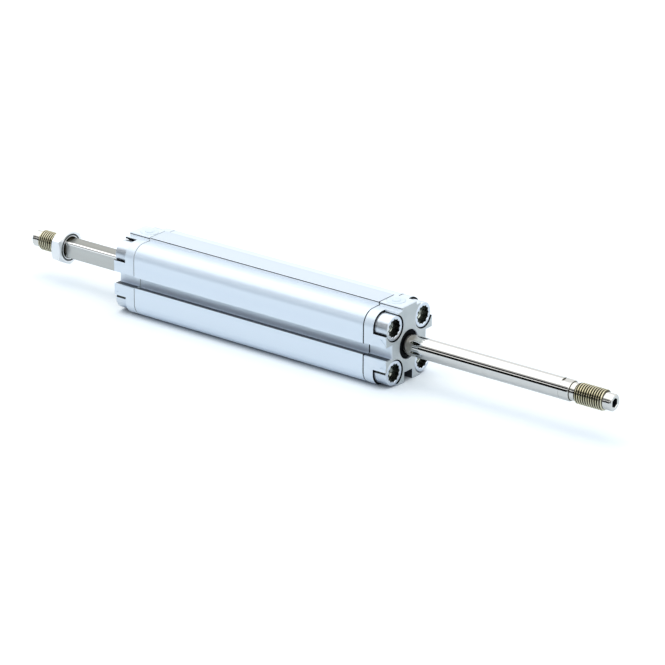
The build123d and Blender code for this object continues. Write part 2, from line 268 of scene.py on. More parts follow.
@dataclass(frozen=True)
class Thread:
    """A vee thread with a flat crest and a rounded root, in millimetres.

    Attributes:
        pitch: distance from one turn to the next.
        crest: radius at the flat.
        root: radius at the bottom of the vee.
        lead: length over which the thread grows from each end.
        end_radius: radius at both ends, on the far side of the root.
        crest_share: share of the pitch that the flat takes.
        flank_share: share of the pitch that each flank takes.
        flank_depth: share of the depth at which the flanks end.
    """

    pitch: float
    crest: float
    root: float
    lead: float
    end_radius: float
    crest_share: float = 0.14
    flank_share: float = 0.345
    flank_depth: float = 0.94

    # Rows of faces in a turn that lie in the vee, below the upper third of its flanks.
    VEE_ROWS: ClassVar[range] = range(2, 8)

    def bottom(self) -> tuple[float, float, float]:
        """Shares of the pitch at which the rounded root starts, is deepest and ends."""
        start = self.crest_share + self.flank_share
        end = 1 - self.flank_share
        return start, (start + end) / 2, end

    def marks(self) -> list[float]:
        """Shares of the pitch at which a turn is drawn."""
        start, middle, end = self.bottom()
        third = self.flank_share / 3
        down = [self.crest_share + third, self.crest_share + 2 * third]
        return [0.0, self.crest_share, *down, start, middle, end, end + third, end + 2 * third]

    def radius(self, share: np.ndarray, run: np.ndarray, length: float) -> np.ndarray:
        """Radius of the thread.

        Args:
            share: place within a turn, from 0 to 1.
            run: distance from the start of the threaded stretch.
            length: length of the threaded stretch.

        Returns:
            The radius at each point.
        """
        drops = [0, 0, self.flank_depth, 1, self.flank_depth, 0]
        drop = np.interp(share, [0, self.crest_share, *self.bottom(), 1], drops)
        full = self.crest + (self.root - self.crest) * drop
        grown = np.clip(np.minimum(run, length - run) / self.lead, 0, 1)
        limit = self.end_radius + (self.crest - self.end_radius) * grown
        return np.minimum(full, limit) if self.crest > self.root else np.maximum(full, limit)


class Turning:
    """A piece worked ring by ring along its own x axis, as on a lathe, with rings of any outline."""

    def __init__(self, segments: int) -> None:
        """Start an empty piece with that many points to a ring."""
        self.segments = segments
        self.angles = np.arange(segments) * FULL_TURN / segments
        self.middles = self.angles + pi / segments
        self.points: list[np.ndarray] = []
        self.faces: list[tuple[int, int, int, int]] = []
        self.slots: list[int] = []
        self.last: int | None = None

    def _spread(self, value: Radius) -> np.ndarray:
        """The value at each point of a ring."""
        if callable(value):
            return value(self.angles)
        return np.broadcast_to(np.asarray(value, float), self.angles.shape)

    def _count(self) -> int:
        """Number of points so far."""
        return sum(len(p) for p in self.points)

    def ring(self, x: float, radius: Radius, slot: int | np.ndarray = 0) -> None:
        """Add a ring and join it to the one before it.

        Args:
            x: place along the axis.
            radius: distance from the axis, one value, one for each point, or by angle.
            slot: material slot of the band that leads to this ring, or of each of its faces.
        """
        reach = self._spread(radius)
        slots = np.broadcast_to(slot, self.angles.shape)
        first = self._count()
        sideways, upwards = reach * np.cos(self.angles), reach * np.sin(self.angles)
        self.points.append(np.stack([self._spread(x), sideways, upwards], axis=1))
        if self.last is not None:
            for i in range(self.segments):
                after = (i + 1) % self.segments
                self.faces.append((self.last + i, self.last + after, first + after, first + i))
                self.slots.append(int(slots[i]))
        self.last = first

    def thread(
        self, turns: Thread, start: float, end: float, slot: int, vee_slot: int | None = None
    ) -> None:
        """Add a threaded stretch from the last ring to a new one.

        Args:
            turns: the thread's form.
            start: x of the last ring.
            end: x of the new ring.
            slot: material slot of the thread.
            vee_slot: material slot of the painted shade inside the vee, if it has one of its own.
        """
        towards = 1 if end > start else -1
        length = abs(end - start)
        marks = np.array(turns.marks())
        count = int(np.ceil(length / turns.pitch)) + 2
        rows = (np.arange(count)[:, None] + marks[None, :]).ravel() * turns.pitch
        first = self._count()
        # Each row of points climbs by one pitch in a turn, and what passes an end is held at it.
        lag = turns.pitch if towards > 0 else 0.0
        climb = self.angles[None, :] / FULL_TURN * turns.pitch * towards
        run = np.clip(rows[:, None] - lag + climb, 0, length)
        share = np.broadcast_to(rows[:, None] / turns.pitch % 1.0, run.shape)
        radius = turns.radius(share, run, length)
        across = (radius * np.cos(self.angles), radius * np.sin(self.angles))
        grid = np.stack([start + towards * run, *across], axis=2)
        self.points.append(grid.reshape(-1, 3))
        # The last column joins the first one a whole turn on, or back where the run goes inwards.
        wrap = len(marks) * towards
        for row in range(len(rows) - 1):
            in_vee = vee_slot is not None and row % len(marks) in turns.VEE_ROWS
            for i in range(self.segments):
                here = first + row * self.segments + i
                beside = here + 1
                if i + 1 == self.segments:
                    if not 0 <= row + wrap < len(rows) - 1:
                        continue
                    beside = first + (row + wrap) * self.segments
                self.faces.append((here, beside, beside + self.segments, here + self.segments))
                self.slots.append(vee_slot if in_vee else slot)
        self.last = None
        self.ring(end, turns.end_radius, slot)

    def mesh(self, name: str, place: Matrix, materials: list[Material]) -> bpy.types.Mesh:
        """Close up the rings into a mesh.

        Args:
            name: name of the mesh.
            place: matrix from the piece's own frame to the row frame, in millimetres.
            materials: the materials, by slot.

        Returns:
            The mesh, in metres.
        """
        data = bpy.data.meshes.new(name)
        data.from_pydata(np.concatenate(self.points).tolist(), [], self.faces)
        data.polygons.foreach_set("material_index", self.slots)
        work = bmesh.new()
        work.from_mesh(data)
        bmesh.ops.remove_doubles(work, verts=work.verts, dist=WELD)
        bmesh.ops.dissolve_degenerate(work, edges=work.edges, dist=WELD)
        bmesh.ops.recalc_face_normals(work, faces=work.faces)
        work.to_mesh(data)
        work.free()
        data.transform(Matrix.Scale(MM, 4) @ place)
        for material in materials:
            data.materials.append(material)
        data.shade_smooth()
        data.set_sharp_from_angle(angle=SHARP_ANGLE)
        return data


class Graph:
    """The node tree of a material or a world, with short calls that add its nodes and join them."""

    def __init__(self, owner: Material | bpy.types.World, empty: bool = True) -> None:
        """Take up the owner's tree, and empty it unless its first nodes are to be kept."""
        owner.use_nodes = True
        self.tree = owner.node_tree
        if empty:
            self.tree.nodes.clear()

    def node(self, kind: str, inputs: dict | None = None, **settings: object) -> bpy.types.Node:
        """Add a node.

        Args:
            kind: type of the node, without the words ShaderNode.
            inputs: constants and sockets for its inputs, by name or number.
            settings: the node's own settings.

        Returns:
            The new node.
        """
        made = self.tree.nodes.new(f"ShaderNode{kind}")
        for key, value in settings.items():
            setattr(made, key, value)
        for key, value in (inputs or {}).items():
            self.join(value, made.inputs[key])
        return made

    def join(self, value: object, socket: Socket) -> None:
        """Set an input to a constant, or link a socket to it."""
        if isinstance(value, Socket):
            self.tree.links.new(value, socket)
        else:
            socket.default_value = value

    def math(self, operation: str, *values: Socket) -> Socket:
        """The result of one operation on one or two values."""
        return self.node("Math", dict(enumerate(values)), operation=operation).outputs[0]

    def product(self, *shares: Socket) -> Socket:
        """All the shares multiplied together."""
        total = shares[0]
        for share in shares[1:]:
            total = self.math("MULTIPLY", total, share)
        return total

    def axis(self, name: str) -> Socket:
        """X, Y or Z of each point in the piece's own frame, in metres."""
        place = self.node("TexCoord").outputs["Object"]
        return self.node("SeparateXYZ", {"Vector": place}).outputs[name]

    def noise(self, stretch: tuple[float, float, float], detail: float = 3.0) -> Socket:
        """Noise that is fixed to the piece.

        Args:
            stretch: marks to the metre along each axis.
            detail: how many finer layers it has.

        Returns:
            The noise, from 0 to 1.
        """
        place = self.node("TexCoord").outputs["Object"]
        scaled = self.node("Mapping", {"Vector": place, "Scale": stretch}).outputs["Vector"]
        return self.node("TexNoise", {"Vector": scaled, "Scale": 1.0, "Detail": detail}).outputs["Fac"]

    def ranged(self, noise: Socket, low: float = 0.0, high: float = 1.0) -> Socket:
        """Stretch the middle of a noise to run between two values."""
        limits = {"From Min": NOISE_LOW, "From Max": NOISE_HIGH, "To Min": low, "To Max": high}
        return self.node("MapRange", {"Value": noise, **limits}).outputs["Result"]

    def ramp(self, value: Socket, start: float, full: float) -> Socket:
        """A share that grows from 0 to 1 as the value goes from start to full."""
        limits = {"From Min": start, "From Max": full}
        return self.node("MapRange", {"Value": value, **limits}).outputs["Result"]

    def past(self, place: Socket, start: float, full: float) -> Socket:
        """A share that grows from 0 to 1 between two places, given in millimetres."""
        return self.ramp(place, start * MM, full * MM)

    def blend(self, share: Socket, first: Colour | Socket, second: Colour | Socket) -> Socket:
        """Blend two colours by a share."""
        pair = [(*colour, 1.0) if isinstance(colour, tuple) else colour for colour in (first, second)]
        inputs = {MIX_SHARE: share, MIX_FIRST: pair[0], MIX_SECOND: pair[1]}
        return self.node("Mix", inputs, data_type="RGBA").outputs[MIX_RESULT]

    def seen(self) -> Socket:
        """A socket that is 1 for rays from the camera, a reflection or glass."""
        path = self.node("LightPath").outputs
        direct = self.math("MAXIMUM", path["Is Camera Ray"], path["Is Glossy Ray"])
        return self.math("MAXIMUM", direct, path["Is Transmission Ray"])


class Surface(Graph):
    """The node tree of a material with a Principled shader."""

    def __init__(self, name: str) -> None:
        """Start the material."""
        self.material = bpy.data.materials.new(name)
        super().__init__(self.material, empty=False)
        self.shader = self.tree.nodes["Principled BSDF"]

    def set(self, name: str, value: object) -> None:
        """Set an input of the shader to a constant, or link a socket to it."""
        self.join(value, self.shader.inputs[name])

    def press(self, marks: Socket, depth: float) -> None:
        """Press marks into the surface, to a depth in millimetres."""
        bump = self.node("Bump", {"Height": marks, "Strength": 1.0, "Distance": depth * MM})
        self.set("Normal", bump.outputs["Normal"])


@dataclass(frozen=True)
class Metal:
    """A bare metal surface with a grain.

    Attributes:
        name: name of the material.
        colour: colour of the metal.
        worn: colour of the paler marks in the grain.
        metallic: how far it is bare metal.
        smooth: roughness where it is smoothest.
        rough: roughness where it is roughest.
        grain: which way the marks run.
        relief: depth of the marks, in millimetres.
    """

    name: str
    colour: Colour
    worn: Colour
    metallic: float
    smooth: float
    rough: float
    grain: Grain
    relief: float

    # How many times broader the paler marks are than those of the relief.
    BROADER: ClassVar[float] = 6.0

    def tint(self, g: Surface) -> Socket:
        """The colour of the surface."""
        broad = g.noise(tuple(v / self.BROADER for v in self.grain.value), detail=1.0)
        return g.blend(g.ranged(broad), self.colour, self.worn)

    def material(self) -> Material:
        """The finished material."""
        g = Surface(self.name)
        marks = g.noise(self.grain.value)
        g.set("Metallic", self.metallic)
        g.set("Base Color", self.tint(g))
        g.set("Roughness", g.ranged(marks, self.smooth, self.rough))
        g.press(marks, self.relief)
        return g.material


@dataclass(frozen=True)
class ShadedEndsMetal(Metal):
    """Metal with painted shade on its faces across X and in the slots along its sides.

    Heights and places sideways are in millimetres from the rod's axis. The painted slot shade grows
    from slot_top down to slot_bottom, ends at ledge_bottom, and is darkest on the ledge. A face is a
    side while its normal turns to X by less than side_until, as a share, and wholly in painted end
    shade from cut_from on.
    """

    # Painted shade on the faces across X.
    cut: Colour = (0.5, 0.5, 0.5)
    cut_worn: Colour = (0.55, 0.55, 0.55)
    side_until: float = 0.6
    cut_from: float = 0.95
    # Painted shade in the side slots: grey low in the slots, nearly black on their ledge.
    slot_shade: Colour = (0.68, 0.72, 0.78)
    ledge_shade: Colour = (0.06, 0.07, 0.08)
    slot_top: float = 0.0
    slot_bottom: float = -2.3
    slot_mouth: float = 17.95
    ledge_inside: float = 14.0
    ledge_top: float = -2.3
    ledge_bottom: float = -4.0
    blur: float = 0.15

    def with_slot_shade(self, g: Surface, sides: Socket) -> Socket:
        """The colour of the sides, with painted shade in the slots in them.

        Args:
            g: the material's nodes.
            sides: the colour of the sides without the painted shade.

        Returns:
            The colour with painted shade: greyer in the slots' lower half, nearly black on their lower
                ledge.
        """
        height = g.axis("Z")
        off_axis = g.math("ABSOLUTE", g.axis("Y"))
        in_slot = g.product(
            g.past(off_axis, self.slot_mouth, self.slot_mouth - self.blur),
            g.past(height, self.ledge_bottom, self.ledge_bottom + self.blur),
        )
        wall = g.product(in_slot, g.past(height, self.slot_top, self.slot_bottom))
        ledge = g.product(
            in_slot,
            g.past(height, self.ledge_top, self.ledge_top - self.blur),
            g.past(off_axis, self.ledge_inside, self.ledge_inside + self.blur),
        )
        return g.blend(ledge, g.blend(wall, sides, self.slot_shade), self.ledge_shade)

    def tint(self, g: Surface) -> Socket:
        """The colour of the surface, with painted shade that makes it greyer where it faces along X."""
        sides = self.with_slot_shade(g, super().tint(g))
        normal = g.node("NewGeometry").outputs["True Normal"]
        local = g.node("VectorTransform", {"Vector": normal}, vector_type="NORMAL", convert_to="OBJECT")
        along = g.node("SeparateXYZ", {"Vector": local.outputs["Vector"]}).outputs["X"]
        end_shade_share = g.ramp(g.math("ABSOLUTE", along), self.side_until, self.cut_from)
        clouds = g.ranged(g.noise(Grain.CLOUDS.value, detail=4.0))
        return g.blend(end_shade_share, sides, g.blend(clouds, self.cut, self.cut_worn))


@dataclass(frozen=True)
class ReflectionPaintedMetal(Metal):
    """Polished metal with a painted brown reflection of the wiper where it comes out of it.

    Attributes:
        film: colour of the metal under the painted reflection.
        film_end: x where the painted reflection starts to fade out, in millimetres.
        film_fade: length over which it fades out, in millimetres.
    """

    film: Colour = (0.38, 0.35, 0.31)
    film_end: float = 4.0
    film_fade: float = 2.5

    def tint(self, g: Surface) -> Socket:
        """The colour of the surface, with a brown painted reflection as far as it reaches."""
        share = g.past(g.axis("X"), self.film_end + self.film_fade, self.film_end)
        return g.blend(share, super().tint(g), self.film)


@dataclass(frozen=True)
class Moulded:
    """A moulded or rubber surface.

    Attributes:
        name: name of the material.
        colour: colour of the material.
        bloom: colour of the paler film on it.
        roughness: roughness of the surface.
        relief: depth of its fine texture, in millimetres.
        ior: refractive index, 1.45 for most plastics and near 1 for a surface without shine.
        spread: how far the roughness goes up and down.
    """

    name: str
    colour: Colour
    bloom: Colour
    roughness: float
    relief: float
    ior: float = 1.45
    spread: float = 0.06

    def material(self) -> Material:
        """The finished material."""
        g = Surface(self.name)
        fine = g.noise(Grain.EVEN.value)
        broad = g.ranged(g.noise(Grain.BLOOM.value, detail=2.0))
        g.set("IOR", self.ior)
        g.set("Base Color", g.blend(broad, self.colour, self.bloom))
        g.set("Roughness", g.ranged(fine, self.roughness - self.spread, self.roughness + self.spread))
        g.press(fine, self.relief)
        return g.material


class Finishes:
    """The finishes of the cylinder, each made into a material once."""

    # Both aluminium finishes carry painted shade on faces across X and in their side slots.
    extruded = ShadedEndsMetal(
        "extruded_aluminium", (0.84, 0.905, 0.97), (0.87, 0.93, 0.985), 0.35, 0.34, 0.42,
        Grain.ALONG, 0.0012, cut=(0.50, 0.54, 0.56), cut_worn=(0.56, 0.59, 0.60),
    )
    cast = ShadedEndsMetal(
        "cast_aluminium", (0.83, 0.89, 0.945), (0.87, 0.92, 0.965), 0.35, 0.36, 0.44,
        Grain.EVEN, 0.002, cut=(0.55, 0.58, 0.57), cut_worn=(0.66, 0.68, 0.665), slot_mouth=17.2,
    )
    # Painted shade: a darker copy of the extruded finish for the top of the barrel's band.
    band = Metal(
        "barrel_band_painted_shade", (0.73, 0.79, 0.87), (0.76, 0.82, 0.89), 0.35, 0.34, 0.42, Grain.ALONG, 0.0012
    )
    # Painted light: near white on the band's flanks and in the square end's joint.
    flank_painted_light = Metal(
        "flank_painted_light", (0.93, 0.95, 0.97), (0.97, 0.98, 0.99), 0.1, 0.34, 0.42, Grain.ALONG, 0.0008
    )
    shaded_slot = Metal(
        "shaded_slot", (0.035, 0.038, 0.04), (0.06, 0.063, 0.066), 0.4, 0.4, 0.5, Grain.EVEN, 0.001
    )
    # Chrome with a painted brown reflection of the wiper near the rod's root.
    chrome = ReflectionPaintedMetal(
        "hard_chrome", (0.68, 0.68, 0.66), (0.71, 0.71, 0.69), 1.0, 0.015, 0.03,
        Grain.ROUND_AXIS, 0.00002,
    )
    ground_steel = Metal(
        "ground_steel", (0.54, 0.55, 0.53), (0.64, 0.65, 0.63), 1.0, 0.28, 0.4, Grain.ALONG, 0.001
    )
    # Painted shade: a darker copy of ground steel for the square rod's upper and lower flats.
    ground_flats_shade = Metal(
        "ground_steel_flats_shade", (0.30, 0.31, 0.29), (0.42, 0.43, 0.40), 1.0, 0.28, 0.4, Grain.ALONG, 0.001
    )
    # Painted highlight along one corner of the square rod.
    polished_edge = Metal(
        "polished_edge", (0.90, 0.90, 0.88), (0.95, 0.95, 0.93), 1.0, 0.08, 0.14, Grain.ALONG, 0.0002
    )
    turned_steel = Metal(
        "turned_steel", (0.68, 0.68, 0.65), (0.76, 0.76, 0.73), 1.0, 0.1, 0.18,
        Grain.ROUND_AXIS, 0.0004,
    )
    cut_steel = Metal(
        "cut_thread_steel", (0.60, 0.57, 0.42), (0.76, 0.71, 0.50), 1.0, 0.1, 0.18,
        Grain.ROUND_AXIS, 0.0006,
    )
    # Painted shade, nearly black, in thread vees, the rod's neck and steps, and the nut's thread.
    steel_painted_shade = Metal(
        "steel_painted_shade", (0.055, 0.05, 0.035), (0.10, 0.09, 0.06), 0.9, 0.3, 0.45,
        Grain.ROUND_AXIS, 0.0006,
    )
    nut_zinc = Metal(
        "nut_zinc", (0.92, 0.96, 0.985), (0.95, 0.975, 0.99), 1.0, 0.3, 0.38, Grain.EVEN, 0.00005
    )
    bright_zinc = Metal(
        "bright_zinc", (0.72, 0.80, 0.89), (0.78, 0.85, 0.92), 1.0, 0.34, 0.4, Grain.EVEN, 0.00005
    )
    # Painted shade, nearly black, on socket walls and on heads' sides in their pockets.
    socket_wall_shade = Metal(
        "socket_wall_shade", (0.03, 0.032, 0.03), (0.06, 0.065, 0.06), 1.0, 0.25, 0.35, Grain.EVEN, 0.0002
    )
    # Painted shade on the socket floor and the hole's thread, with paler painted glints.
    socket_floor_shade_and_glints = Metal(
        "socket_floor_shade_and_glints", (0.30, 0.34, 0.31), (0.62, 0.68, 0.62), 1.0, 0.2, 0.3, Grain.EVEN, 0.0006
    )
    bronze = Metal(
        "bush_bronze", (0.60, 0.42, 0.22), (0.66, 0.47, 0.26), 1.0, 0.25, 0.4, Grain.EVEN, 0.001
    )
    magnet = Metal(
        "magnet_compound", (0.10, 0.09, 0.085), (0.13, 0.12, 0.11), 0.3, 0.45, 0.6, Grain.EVEN, 0.002
    )
    # Painted shade, nearly black, in joints, grooves, screw pockets and key sockets.
    dark_recess = Moulded(
        "dark_recess", (0.008, 0.009, 0.010), (0.014, 0.015, 0.016), 0.8, 0.001, ior=1.08
    )
    rubber = Moulded(
        "black_rubber", (0.003, 0.004, 0.005), (0.007, 0.008, 0.009), 0.6, 0.002, ior=1.1
    )
    plug_plastic = Moulded("pale_plastic", (0.86, 0.91, 0.92), (0.90, 0.94, 0.95), 0.4, 0.001)
    guide_plastic = Moulded("guide_plastic", (0.033, 0.055, 0.040), (0.045, 0.07, 0.052), 0.45, 0.001)

    def __init__(self) -> None:
        """Start with no material made."""
        self.made: dict[str, Material] = {}

    def materials(self, *finishes: Metal | Moulded) -> list[Material]:
        """The materials of some finishes, each made at its first use."""
        for finish in finishes:
            if finish.name not in self.made:
                self.made[finish.name] = finish.material()
        return [self.made[finish.name] for finish in finishes]

    def dress(self, node: str, finish: Metal | Moulded) -> None:
        """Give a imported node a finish."""
        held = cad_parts[node].data.materials
        held.clear()
        held.append(self.materials(finish)[0])
        log.info("%s: dressed in %s", node, finish.name)


def in_scene(name: str, data: bpy.types.ID) -> bpy.types.Object:
    """A new object in the scene."""
    made = bpy.data.objects.new(name, data)
    bpy.context.scene.collection.objects.link(made)
    return made


def add_prop(name: str, corners: list, faces: list, material: Material) -> bpy.types.Object:
    """A piece of the studio, which is no part of the cylinder, in metres."""
    mesh = bpy.data.meshes.new(name)
    mesh.from_pydata(corners, [], faces)
    mesh.materials.append(material)
    prop = in_scene(name, mesh)
    return prop


def add_piece(name: str, mesh: bpy.types.Mesh, body: str, replaced: str) -> bpy.types.Object:
    """Put a mesh in the scene as a piece of the cylinder.

    Args:
        name: name of the piece.
        mesh: its mesh, in the row frame.
        body: the body that it rides on.
        replaced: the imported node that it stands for.

    Returns:
        The piece.
    """
    piece = in_scene(name, mesh)
    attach(piece, body)
    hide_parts(replaced)
    log.info("%s: %d faces on %s", name, len(mesh.polygons), body)
    return piece


@dataclass
class RodEnd:
    """The turned end of a rod: neck, male thread and a nose with a key socket, in millimetres."""

    nose_length: float = 4.2
    nose_radius: float = 4.0
    nose_chamfer: float = 0.5
    thread_length: float = 15.0
    thread_radius: float = 5.0
    thread_chamfer: float = 0.75
    pitch: float = 1.25
    neck_length: float = 2.9
    neck_radius: float = 4.25
    neck_fillet: float = 0.35
    neck_step: float = 0.25
    key_width: float = 4.0
    key_depth: float = 5.0
    key_round: float = 0.12
    key_mouth: float = 0.18
    drill_angle: float = 30.0

    @staticmethod
    def materials(finishes: Finishes, bar: Metal, *more: Metal) -> list[Material]:
        """The materials of a rod in the order of RodSlot: of its bar, of its end, and any more."""
        turned = (Finishes.turned_steel, Finishes.cut_steel, Finishes.steel_painted_shade, Finishes.dark_recess)
        return finishes.materials(bar, *turned, *more)

    def shoulder(self, tip: float) -> float:
        """X of the shoulder, from that of the tip."""
        return tip - self.nose_length - self.thread_length - self.neck_length

    def thread(self) -> Thread:
        """The rod's male thread."""
        root = self.thread_radius - THREAD_DEPTH * self.pitch
        return Thread(self.pitch, self.thread_radius, root, self.thread_chamfer, self.nose_radius)

    def turn(self, work: Turning, tip: float) -> None:
        """Add the rod end to a turned piece whose last ring is the shoulder's face.

        Args:
            work: the piece.
            tip: x of the rod's tip.
        """
        shoulder = self.shoulder(tip)
        thread_start = shoulder + self.neck_length
        nose_start = tip - self.nose_length
        # The neck's fillet, the step into the thread and the thread's vees carry painted shade.
        for run, rise in quarter(self.neck_fillet):
            work.ring(shoulder + run, self.neck_radius + rise, RodSlot.ROOT)
        work.ring(thread_start - self.neck_step, self.neck_radius, RodSlot.TURNED)
        work.ring(thread_start, self.nose_radius, RodSlot.ROOT)
        work.thread(self.thread(), thread_start, nose_start, RodSlot.THREAD, RodSlot.ROOT)
        work.ring(tip - self.nose_chamfer, self.nose_radius, RodSlot.TURNED)
        work.ring(tip, self.nose_radius - self.nose_chamfer, RodSlot.TURNED)
        apothem = self.key_width / 2
        key = soft_polygon(6, apothem, self.key_round)
        work.ring(tip, soft_polygon(6, apothem + self.key_mouth, self.key_round), RodSlot.TURNED)
        work.ring(tip - self.key_mouth, key, RodSlot.TURNED)
        # The key socket's wall and drill point carry painted shade.
        work.ring(tip - self.key_depth, key, RodSlot.KEY)
        drill = apothem - self.key_round
        work.ring(tip - self.key_depth, drill, RodSlot.KEY)
        work.ring(tip - self.key_depth - drill * tan(radians(self.drill_angle)), 0.0, RodSlot.KEY)


@dataclass
class RoundRod:
    """The polished round rod, with its stud through the piston and its spanner flats, in millimetres."""

    finishes: Finishes
    radius: float = 5.0
    stud_radius: float = 3.0
    stud_chamfer: float = 0.4
    shoulder_chamfer: float = 0.4
    flat_width: float = 9.0
    flat_length: float = 5.0
    edge: float = 0.08

    def build(self) -> None:
        """Build the rod in place of its node."""
        stud_end, tip = End.ROUND.outwards("round_rod")
        piston_face = End.ROUND.outwards("piston_round_half")[1]
        rod_end = RodEnd()
        shoulder = rod_end.shoulder(tip)
        flats_start = shoulder - self.flat_length
        flats = two_flats(self.radius, self.flat_width / 2)
        tapered = two_flats(self.radius - self.shoulder_chamfer, self.flat_width / 2)
        work = Turning(ROD_SEGMENTS)
        work.ring(stud_end, 0.0)
        work.ring(stud_end, self.stud_radius - self.stud_chamfer, RodSlot.TURNED)
        work.ring(stud_end + self.stud_chamfer, self.stud_radius, RodSlot.TURNED)
        work.ring(piston_face, self.stud_radius, RodSlot.TURNED)
        work.ring(piston_face, self.radius - self.edge, RodSlot.TURNED)
        work.ring(piston_face + self.edge, self.radius, RodSlot.BAR)
        work.ring(flats_start - self.edge, self.radius, RodSlot.BAR)
        # The step into the spanner flats carries painted shade.
        work.ring(flats_start, flats, RodSlot.ROOT)
        work.ring(shoulder - self.shoulder_chamfer, flats, RodSlot.BAR)
        work.ring(shoulder, tapered, RodSlot.TURNED)
        rod_end.turn(work, tip)
        materials = RodEnd.materials(self.finishes, Finishes.chrome)
        mesh = work.mesh("round_rod_dressed", End.ROUND.place(), materials)
        add_piece("round_rod_dressed", mesh, PISTON_ROD, "round_rod")


@dataclass
class SquareRod:
    """The ground square rod that keeps the piston from turning, in millimetres.

    The bore is the recess for the round rod's stud. One corner carries a painted highlight, and
    polish is how far that reaches past the corner's rounding.
    """

    finishes: Finishes
    width: float = 8.2
    corner: float = 0.8
    bore_radius: float = 3.05
    bore_depth: float = 10.5
    edge: float = 0.12
    polish: float = 0.45
    highlight_corner: float = pi / 4

    def sides(self, middles: np.ndarray) -> np.ndarray:
        """The slot of each face round the square.

        Args:
            middles: angles of the middles of the faces.

        Returns:
            The slots.
        """
        # One corner carries a painted highlight.
        half_corner = atan2(self.corner + self.polish, self.width - self.corner)
        # The upper and lower flats carry painted shade.
        level = np.abs(np.sin(middles)) > np.abs(np.cos(middles))
        flats = np.where(level, RodSlot.TOP.value, RodSlot.BAR.value)
        return np.where(np.abs(middles - self.highlight_corner) < half_corner, RodSlot.POLISHED.value, flats)

    def build(self) -> None:
        """Build the rod in place of its node."""
        inner, tip = End.SQUARE.outwards("square_rod")
        rod_end = RodEnd()
        shoulder = rod_end.shoulder(tip)
        square = soft_polygon(4, self.width / 2, self.corner)
        eased = soft_polygon(4, self.width / 2 - self.edge, self.corner - self.edge)
        work = Turning(ROD_SEGMENTS)
        work.ring(inner + self.bore_depth, 0.0)
        work.ring(inner + self.bore_depth, self.bore_radius, RodSlot.TURNED)
        work.ring(inner, self.bore_radius, RodSlot.TURNED)
        work.ring(inner, eased, RodSlot.TURNED)
        work.ring(inner + self.edge, square, RodSlot.BAR)
        work.ring(shoulder - self.edge, square, self.sides(work.middles))
        work.ring(shoulder, eased, RodSlot.BAR)
        rod_end.turn(work, tip)
        # The flats' painted shade and the corner's painted highlight.
        worn = (Finishes.ground_flats_shade, Finishes.polished_edge)
        materials = RodEnd.materials(self.finishes, Finishes.ground_steel, *worn)
        mesh = work.mesh("square_rod_dressed", End.SQUARE.place(), materials)
        add_piece("square_rod_dressed", mesh, PISTON_ROD, "square_rod")


@dataclass
class LockNut:
    """The thin hexagon nut on the square rod's thread, in millimetres.

    The rim is a shallow step round the thread's mouth, and the ring a band of painted shade round
    the rod on the inner face.
    """

    finishes: Finishes
    width: float = 16.0
    corner: float = 0.25
    face_drop: float = 0.4
    chamfer_angle: float = 30.0
    mouth_radius: float = 5.35
    thread_radius: float = 5.03
    rim_radius: float = 5.6
    rim_depth: float = 0.12
    shade_ring_inside: float = 6.0
    shade_ring_radius: float = 6.9

    def build(self) -> None:
        """Build the nut in place of its node, from its bore outwards and back to the bore."""
        inner, outer = End.SQUARE.outwards("lock_nut")
        work = Turning(ROD_SEGMENTS)
        face = self.width / 2 - self.face_drop
        reach = soft_polygon(6, self.width / 2, self.corner)(work.angles)
        drop = (reach - face) * tan(radians(self.chamfer_angle))
        depth = self.mouth_radius - self.thread_radius
        work.ring(outer - depth, self.thread_radius)
        # The bore's thread carries painted shade.
        work.ring(inner + depth, self.thread_radius, NutSlot.THREAD)
        work.ring(inner + self.rim_depth, self.mouth_radius, NutSlot.THREAD)
        work.ring(inner, self.rim_radius, NutSlot.THREAD)
        # A ring of painted shade round the rod on the inner face.
        work.ring(inner, self.shade_ring_inside, NutSlot.ZINC)
        work.ring(inner, self.shade_ring_radius, NutSlot.SHADED)
        work.ring(inner, face, NutSlot.ZINC)
        work.ring(inner + drop, reach, NutSlot.ZINC)
        work.ring(outer - drop, reach, NutSlot.ZINC)
        work.ring(outer, face, NutSlot.ZINC)
        work.ring(outer, self.rim_radius, NutSlot.ZINC)
        work.ring(outer - self.rim_depth, self.mouth_radius, NutSlot.THREAD)
        work.ring(outer - depth, self.thread_radius, NutSlot.THREAD)
        parts = (Finishes.nut_zinc, Finishes.steel_painted_shade, Finishes.shaded_slot)
        mesh = work.mesh("lock_nut_dressed", End.SQUARE.place(), self.finishes.materials(*parts))
        add_piece("lock_nut_dressed", mesh, PISTON_ROD, "lock_nut")


